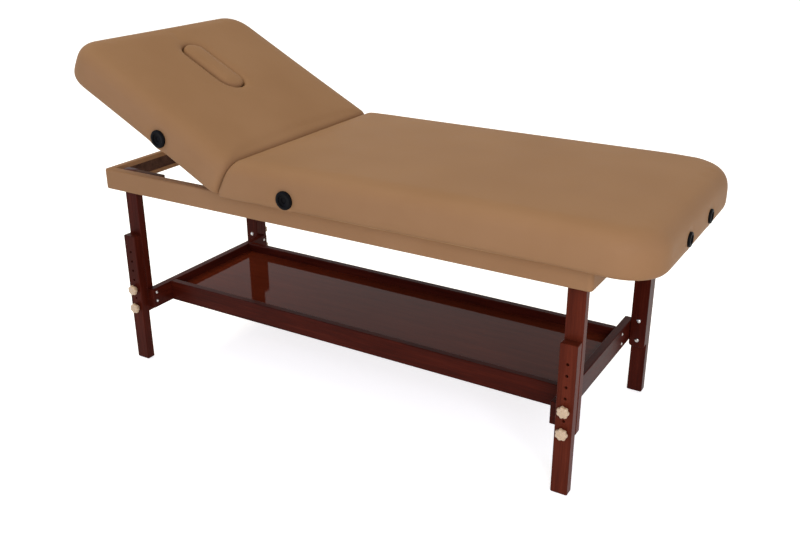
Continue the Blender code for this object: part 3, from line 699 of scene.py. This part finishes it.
def makePlug():
    base = seamSpec["baseRise"] + plugSpec["board"]
    top = seamSpec["baseRise"] + backSpec["thick"] + backSpec["crown"] + plugSpec["rise"]
    shrink = plugSpec["shrink"]
    inset = plugSpec["play"] + shrink
    half = Vector((holeSpec["length"] / 2 - inset, holeSpec["width"] / 2 - inset))
    low = Vector((holeSpec["centre"] - half.x, -half.y, base))
    high = Vector((holeSpec["centre"] + half.x, half.y, top - shrink - plugSpec["crown"]))
    corner = half.y - plugSpec["endFlat"]
    bm = padMesh(low, high, dict(plugSpec, corners=(corner, corner)))
    plug = meshPiece("plugCushion", bm, [vinyl], smooth=0)
    remeshCover(plug, plugSpec["voxel"])
    swell(plug, plugSpec, base)
    smoothCover(plug, plugSpec["smooth"])
    plug.data.transform(backTurn)
    finishCover(plug)
    settle(plug, "plug", "tan_vinyl", "face_plug")
    print("plug:", len(plug.data.polygons), "faces")


makeMainCushion()
makeBackCushion()
makePlug()


# capped ports in the cushions
def makePorts():
    for name, facing in portFacing.items():
        cap = meshPiece(name.replace("_cap", "") + "_dressed", portMesh(portFlange(name)), [portPlastic],
                        smooth=portSpec["shadeAngle"])
        onBack = "back" in name
        turnOut = facing.to_track_quat("Z", "Y").to_matrix().to_4x4()
        if onBack:
            turnOut = Matrix.Rotation(backTilt, 4, "Y") @ turnOut
        cap.data.transform(Matrix.Translation(portPlace(name, facing)) @ turnOut)
        settle(cap, "backrest" if onBack else "frame", "black_plastic", name)
    print("ports:", len(portFacing))


makePorts()


# apron: one vinyl band round the four rails, turned in over their inner faces
apronSpec = {"cornerRound": 12 * millimetre, "edgeRound": 5 * millimetre, "sideThick": 28.5 * millimetre,
             "endThick": 21.5 * millimetre, "turnIn": 13 * millimetre, "coverThick": 1.2 * millimetre,
             "coverEnd": 0.4 * millimetre, "innerEdge": 2 * millimetre, "leastRound": 0.3 * millimetre,
             "cornerSteps": 6, "edgeSteps": 4, "shadeAngle": 40}
apronRails = ["apron_rail_" + name for name in ("near", "far", "head", "foot")]


def makeApron():
    corners = [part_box(name) for name in apronRails]
    low = Vector([min(pair[0][axis] for pair in corners) for axis in range(3)])
    high = Vector([max(pair[1][axis] for pair in corners) for axis in range(3)])
    thick, edge = apronSpec["sideThick"], apronSpec["edgeRound"]
    lip, chamfer = apronSpec["turnIn"], apronSpec["innerEdge"]
    wood, woodLip = thick - apronSpec["coverThick"], lip + apronSpec["coverEnd"]

    def bend(centreInset, centreZ, start):
        made = []
        for step in range(apronSpec["edgeSteps"] + 1):
            angle = start + math.pi / 2 * step / apronSpec["edgeSteps"]
            made.append((centreInset - edge * math.cos(angle), centreZ + edge * math.sin(angle)))
        return made

    section = bend(edge, low.z + edge, -math.pi / 2) + bend(edge, high.z - edge, 0)
    section += [(thick - chamfer, high.z), (thick, high.z - chamfer), (thick, high.z - lip)]
    woodRow = len(section)  # bare rail between the two turned-in edges
    section += [(wood, high.z - woodLip), (wood, low.z + woodLip)]
    section += [(thick, low.z + lip), (thick, low.z + chamfer), (thick - chamfer, low.z)]
    bm = bmesh.new()
    loops = []
    for inset, height in section:
        insetX = inset * apronSpec["endThick"] / thick
        half = Vector(((high.x - low.x) / 2 - insetX, (high.y - low.y) / 2 - inset))
        radius = max(apronSpec["cornerRound"] - inset, apronSpec["leastRound"])
        loop = []
        for quarter in range(4):
            signX, signY = ((1, 1), (-1, 1), (-1, -1), (1, -1))[quarter]
            for step in range(apronSpec["cornerSteps"] + 1):
                angle = math.pi / 2 * (quarter + step / apronSpec["cornerSteps"])
                along = (low.x + high.x) / 2 + signX * (half.x - radius) + radius * math.cos(angle)
                across = signY * (half.y - radius) + radius * math.sin(angle)
                loop.append(bm.verts.new((along, across, height)))
        loops.append(loop)
    for row, loop in enumerate(loops):
        other = loops[(row + 1) % len(loops)]
        for index in range(len(loop)):
            after = (index + 1) % len(loop)
            face = bm.faces.new((loop[index], loop[after], other[after], other[index]))
            face.material_index = 1 if row == woodRow else 0
    apron = meshPiece("vinylApron", bm, [vinyl, railWood], smooth=apronSpec["shadeAngle"])
    settle(apron, "frame", "apron_vinyl", *apronRails)
    print("apron:", len(apron.data.polygons), "faces")


makeApron()


# wooden boards with softened edges
boardSpec = {"edge": 2.2 * millimetre, "segments": 3, "panelEdge": 0.6 * millimetre,
             "postRound": 9 * millimetre, "postSegments": 5, "legRound": 5 * millimetre, "legSegments": 4,
             "sharpTurn": 0.6, "grooveRoom": 0.3 * millimetre, "shadeAngle": 35}
# height holes of a lower leg
drillSpec = {"radius": 4.2 * millimetre, "pitch": 31.75 * millimetre, "first": 0.1845, "count": 7,
             "reach": 0.1, "steps": 24}


def boardMesh(node, edge=boardSpec["edge"]):
    low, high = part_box(node)
    bm = boxMesh(low, high)
    roundEdges(bm, bm.edges[:], edge, boardSpec["segments"])
    return bm


def roundLeg(bm, bottom, radius, segments):
    # the foot end is rounded first, then every edge that is still sharp
    roundEdges(bm, bottom, radius, segments)
    sharp = [edge for edge in bm.edges if edge.calc_face_angle(0) > boardSpec["sharpTurn"]]
    roundEdges(bm, sharp, boardSpec["edge"], boardSpec["segments"])


def legWood(side, end):
    # the near-foot leg takes a paler copy of the stain, painted light where that leg stands lit; the other
    # legs keep the darker copy as painted shade
    return paintedLightMahogany if (side, end) == ("near", "foot") else mahogany[2]


def makePost(side, end):
    name = "leg_post_%s_%s" % (side, end)
    low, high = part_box(name)
    bm = boxMesh(low, high)
    bottom = [edge for edge in bm.edges if all(vert.co.z < low.z + millimetre for vert in edge.verts)
              and abs(edge.verts[0].co.y - edge.verts[1].co.y) > millimetre]
    roundLeg(bm, bottom, boardSpec["postRound"], boardSpec["postSegments"])
    post = meshPiece("post_%s_%s" % (side, end), bm, [legWood(side, end)])
    settle(post, "frame", "mahogany_wood", name)


def makeLowerLeg(side, end):
    name = "lower_leg_%s_%s" % (side, end)
    low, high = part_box(name)
    bm = boxMesh(low, high)
    bottom = [edge for edge in bm.edges if all(vert.co.z < low.z + millimetre for vert in edge.verts)]
    roundLeg(bm, bottom, boardSpec["legRound"], boardSpec["legSegments"])
    leg = meshPiece("slidingLeg_%s_%s" % (side, end), bm, [legWood(side, end)])
    radius, reach = drillSpec["radius"], drillSpec["reach"]
    turnAcross = Matrix.Rotation(math.pi / 2, 3, "X")
    tools = []
    for index in range(drillSpec["count"]):
        drill = turnedMesh([(0, -reach), (radius, -reach), (radius, reach), (0, reach)], drillSpec["steps"])
        bmesh.ops.rotate(drill, cent=(0, 0, 0), matrix=turnAcross, verts=drill.verts)
        height = drillSpec["first"] + index * drillSpec["pitch"]
        place = ((low.x + high.x) / 2, (low.y + high.y) / 2, height)
        bmesh.ops.translate(drill, vec=place, verts=drill.verts)
        tools.append(toolFrom("drill", drill))
    cutAway(leg, tools)
    shadeMesh(leg.data, boardSpec["shadeAngle"])
    settle(leg, "leg_%s_%s" % (side, end), "mahogany_wood", name)


def makeShelf():
    panelLow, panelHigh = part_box("shelf_panel")
    room = Vector((1, 1, 1)) * boardSpec["grooveRoom"]
    grains = {"stretcher_head": 1, "stretcher_foot": 1, "shelf_rail_near": 0, "shelf_rail_far": 0}
    for name, grain in grains.items():
        board = meshPiece(name + "_dressed", boardMesh(name), [mahogany[grain]])
        cutAway(board, [toolFrom("groove", boxMesh(panelLow - room, panelHigh + room))])
        shadeMesh(board.data, boardSpec["shadeAngle"])
        settle(board, "frame", "mahogany_wood", name)
    panel = meshPiece("shelfPanel", boardMesh("shelf_panel", boardSpec["panelEdge"]), [shelfGloss])
    settle(panel, "frame", "shelf_wood", "shelf_panel")


for legSide in sides:
    for legEnd in ends:
        makePost(legSide, legEnd)
        makeLowerLeg(legSide, legEnd)
makeShelf()
print("legs and shelf made")


# star knobs: lobed grip, domed face with a pressed centre cap, short stem
knobSpec = {"lobes": 7, "radius": 16.5 * millimetre, "lobeDepth": 2.8 * millimetre, "stem": 6 * millimetre,
            "stemRadius": 8.5 * millimetre, "head": 13 * millimetre, "cap": 6.5 * millimetre, "gripFrom": 0.1,
            "lobePower": 1.4, "stepsPerLobe": 14, "shadeAngle": 50}


def knobMesh():
    stem, neck, rim, cap = (knobSpec[size] for size in ("stem", "stemRadius", "radius", "cap"))
    top = stem + knobSpec["head"]
    bm = turnedMesh([
        (0, top - 0.2 * millimetre), (cap - 0.8 * millimetre, top - 0.5 * millimetre),
        (cap, top - 1.1 * millimetre), (cap + 0.5 * millimetre, top - 0.7 * millimetre),
        (rim - 6 * millimetre, top - 0.8 * millimetre), (rim - 3 * millimetre, top - 1.6 * millimetre),
        (rim - millimetre, top - 3.2 * millimetre), (rim, top - 5.2 * millimetre),
        (rim, stem + 2.6 * millimetre), (rim - 0.8 * millimetre, stem + 0.9 * millimetre),
        (rim - 2.6 * millimetre, stem), (neck + 0.6 * millimetre, stem),
        (neck, stem - 0.6 * millimetre), (neck, 0), (0, 0),
    ], knobSpec["lobes"] * knobSpec["stepsPerLobe"])
    for vert in bm.verts:
        radius = vert.co.xy.length
        grip = (radius - neck) / (rim - neck)
        if grip > knobSpec["gripFrom"]:
            wave = 0.5 - 0.5 * math.cos(knobSpec["lobes"] * math.atan2(vert.co.y, vert.co.x))
            scale = 1 - grip * wave ** knobSpec["lobePower"] * knobSpec["lobeDepth"] / radius
            vert.co.x *= scale
            vert.co.y *= scale
    return bm


def makeKnobs():
    for side, sign in sides.items():
        for end in ends:
            for level in ("lower", "upper"):
                name = "knob_%s_%s_%s" % (side, end, level)
                low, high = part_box(name)
                middle = (low + high) / 2
                face = high.y if sign < 0 else low.y
                knob = meshPiece(name + "_dressed", knobMesh(), [knobPlastic], smooth=knobSpec["shadeAngle"])
                facing = Vector((0, sign, 0)).to_track_quat("Z", "Y").to_matrix().to_4x4()
                knob.data.transform(Matrix.Translation((middle.x, face, middle.z)) @ facing)
                settle(knob, name, "cream_plastic", name)


makeKnobs()
print("knobs made")


# fasteners on the frame, set out by Geometry Nodes
fastenerSpec = {"boltHead": 6.5 * millimetre, "boltRise": 3 * millimetre, "boltRecess": 0.5 * millimetre,
                "screwHead": 4.6 * millimetre, "screwRise": 1.6 * millimetre, "screwRecess": 0.9 * millimetre,
                "sunk": 0.3 * millimetre, "steps": 28, "shadeAngle": 45, "fromBarEnd": 16 * millimetre,
                "stretcherHeights": (0.2015, 0.2305), "screwHeights": (0.197, 0.228)}


def makeHead(kind):
    # domed head with a small recess in its middle
    radius, rise, recess = (fastenerSpec[kind + size] for size in ("Head", "Rise", "Recess"))
    bm = turnedMesh([
        (0, rise - recess), (recess * 1.2, rise - recess), (recess * 1.8, rise), (radius * 0.62, rise * 0.86),
        (radius * 0.88, rise * 0.5), (radius, 0), (0, -fastenerSpec["sunk"]),
    ], fastenerSpec["steps"])
    return meshPiece(kind + "Head", bm, [steel], smooth=fastenerSpec["shadeAngle"])


def fastenerTree(head):
    tree = bpy.data.node_groups.new("fasteners_" + head.name, "GeometryNodeTree")
    tree.interface.new_socket("Places", in_out="INPUT", socket_type="NodeSocketGeometry")
    sizeSocket = tree.interface.new_socket("Head size", in_out="INPUT", socket_type="NodeSocketFloat")
    tree.interface.new_socket("Fasteners", in_out="OUTPUT", socket_type="NodeSocketGeometry")
    start = addNode(tree, "NodeGroupInput")
    facing = addNode(tree, "GeometryNodeInputNamedAttribute", {"Name": "facing"}, data_type="FLOAT_VECTOR")
    turned = addNode(tree, "FunctionNodeAlignRotationToVector", links={"Vector": facing.outputs["Attribute"]},
                     axis="Z")
    source = addNode(tree, "GeometryNodeObjectInfo", {"Object": head})
    placed = addNode(tree, "GeometryNodeInstanceOnPoints", links={
        "Points": start.outputs["Places"], "Instance": source.outputs["Geometry"],
        "Rotation": turned.outputs["Rotation"], "Scale": start.outputs["Head size"]})
    real = addNode(tree, "GeometryNodeRealizeInstances", links={"Geometry": placed.outputs["Instances"]})
    painted = addNode(tree, "GeometryNodeSetMaterial", {"Material": steel},
                      {"Geometry": real.outputs["Geometry"]})
    addNode(tree, "NodeGroupOutput", links={"Fasteners": painted.outputs["Geometry"]})
    return tree, sizeSocket.identifier


def setFasteners(name, head, places):
    mesh = bpy.data.meshes.new(name)
    mesh.from_pydata([place for place, facing in places], [], [])
    attribute = mesh.attributes.new("facing", "FLOAT_VECTOR", "POINT")
    for item, (place, facing) in zip(attribute.data, places):
        item.vector = facing
    piece = bpy.data.objects.new(name, mesh)
    scene.collection.objects.link(piece)
    tree, sizeInput = fastenerTree(head)
    layout = piece.modifiers.new("layout", "NODES")
    layout.node_group = tree
    layout[sizeInput] = 1.0
    applyModifiers(piece)
    shadeMesh(piece.data, fastenerSpec["shadeAngle"])
    bpy.data.objects.remove(head)
    return piece


def makeFasteners():
    carriage, joining, screws = [], [], []
    replaced = []
    for side, sign in sides.items():
        for end in ends:
            postLow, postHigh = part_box("leg_post_%s_%s" % (side, end))
            innerFace = postHigh.y if sign < 0 else postLow.y
            for level in ("lower", "upper"):
                name = "leg_bolt_%s_%s_%s" % (side, end, level)
                low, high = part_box(name)
                carriage.append((((low.x + high.x) / 2, innerFace, (low.z + high.z) / 2), (0, -sign, 0)))
                replaced.append(name)
            # screws that join each stretcher to its posts show on its foot-side face
            barLow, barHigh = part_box("stretcher_" + end)
            across = sign * (barHigh.y - fastenerSpec["fromBarEnd"])
            for height in fastenerSpec["stretcherHeights"]:
                joining.append(((barHigh.x, across, height), (1, 0, 0)))
            railLow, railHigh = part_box("shelf_rail_" + side)
            railMiddle = (railLow.y + railHigh.y) / 2
            outer, outward = (barHigh.x, 1) if end == "foot" else (barLow.x, -1)
            for height in fastenerSpec["screwHeights"]:
                screws.append(((outer, railMiddle, height), (outward, 0, 0)))
    settle(setFasteners("carriageBolts", makeHead("bolt"), carriage), "frame", "steel", *replaced)
    settle(setFasteners("framingScrews", makeHead("screw"), joining + screws), "frame", "steel")


makeFasteners()
print("fasteners made")


# CAD pieces that stay get their finish
finishes = {
    "cross_rail_": railWood, "rest_cleat_": railWood, "deck_board": plainWood[0],
    "backrest_board": plainWood[1], "backrest_batten_": railWood, "ratchet_": steel,
}
for name, node in nodes.items():
    for prefix, material in finishes.items():
        if name.startswith(prefix):
            node.data.materials.clear()
            node.data.materials.append(material)


# pale floor, soft studio light and an even white surround
stageSpec = {"floor": "#f4f4f2", "floorSize": 30.0, "floorGlow": 0.66, "ambient": 0.42}


def seenDirectly(tree):
    # 1 for what the camera sees straight, in a reflection or through glass, and 0 for light on the object
    path = addNode(tree, "ShaderNodeLightPath")
    straight = {0: path.outputs["Is Camera Ray"], 1: path.outputs["Is Glossy Ray"]}
    seen = addNode(tree, "ShaderNodeMath", links=straight, operation="MAXIMUM")
    through = {0: seen.outputs["Value"], 1: path.outputs["Is Transmission Ray"]}
    return addNode(tree, "ShaderNodeMath", links=through, operation="MAXIMUM").outputs["Value"]


def makeFloor():
    bm = bmesh.new()
    bmesh.ops.create_grid(bm, x_segments=1, y_segments=1, size=stageSpec["floorSize"])
    values = {"Roughness": 0.9, "Base Color": linearColour(stageSpec["floor"]),
              "Emission Color": (1, 1, 1, 1)}
    material, tree, shader, _ = startMaterial("paleFloor", values)
    glow = addNode(tree, "ShaderNodeMath", {1: stageSpec["floorGlow"]}, {0: seenDirectly(tree)},
                   operation="MULTIPLY")
    tree.links.new(glow.outputs["Value"], shader.inputs["Emission Strength"])
    floor = meshPiece("studioFloor", bm, [material], smooth=0)


studioLights = {
    "keyLight": {"place": (2.8, -3.3, 2.2), "aim": (0, 0, 0.5), "size": 2.2, "power": 94,
                 "colour": (1.0, 0.99, 1.14)},
    "topLight": {"place": (-3.6, 0.2, 7.0), "aim": (0, 0, 0.6), "size": 5.0, "power": 245,
                 "colour": (1.0, 0.92, 0.68)},
    "fillLight": {"place": (-3.0, -3.2, 1.0), "aim": (0, 0, 0.6), "size": 2.0, "power": 20,
                  "colour": (0.45, 0.66, 1.4)},
}


def makeLight(name, spec):
    data = bpy.data.lights.new(name, "AREA")
    data.shape = "SQUARE"
    data.size = spec["size"]
    data.energy = spec["power"]
    data.color = spec["colour"]
    light = bpy.data.objects.new(name, data)
    light.location = spec["place"]
    towards = Vector(spec["aim"]) - Vector(spec["place"])
    light.rotation_euler = towards.to_track_quat("-Z", "Y").to_euler()
    scene.collection.objects.link(light)


def makeWorld():
    world = bpy.data.worlds.new("studio")
    world.use_nodes = True
    tree = world.node_tree
    tree.nodes.clear()
    strength = addNode(tree, "ShaderNodeMapRange", {"To Min": stageSpec["ambient"], "To Max": 1.0},
                       {"Value": seenDirectly(tree)})
    back = addNode(tree, "ShaderNodeBackground", {"Color": (1, 1, 1, 1)},
                   {"Strength": strength.outputs["Result"]})
    addNode(tree, "ShaderNodeOutputWorld", links={"Surface": back.outputs["Background"]})
    scene.world = world


makeFloor()
makeWorld()
for lightName, lightSpec in studioLights.items():
    makeLight(lightName, lightSpec)
scene.view_settings.view_transform = "Standard"
print("stage made:", len(studioLights), "lights")
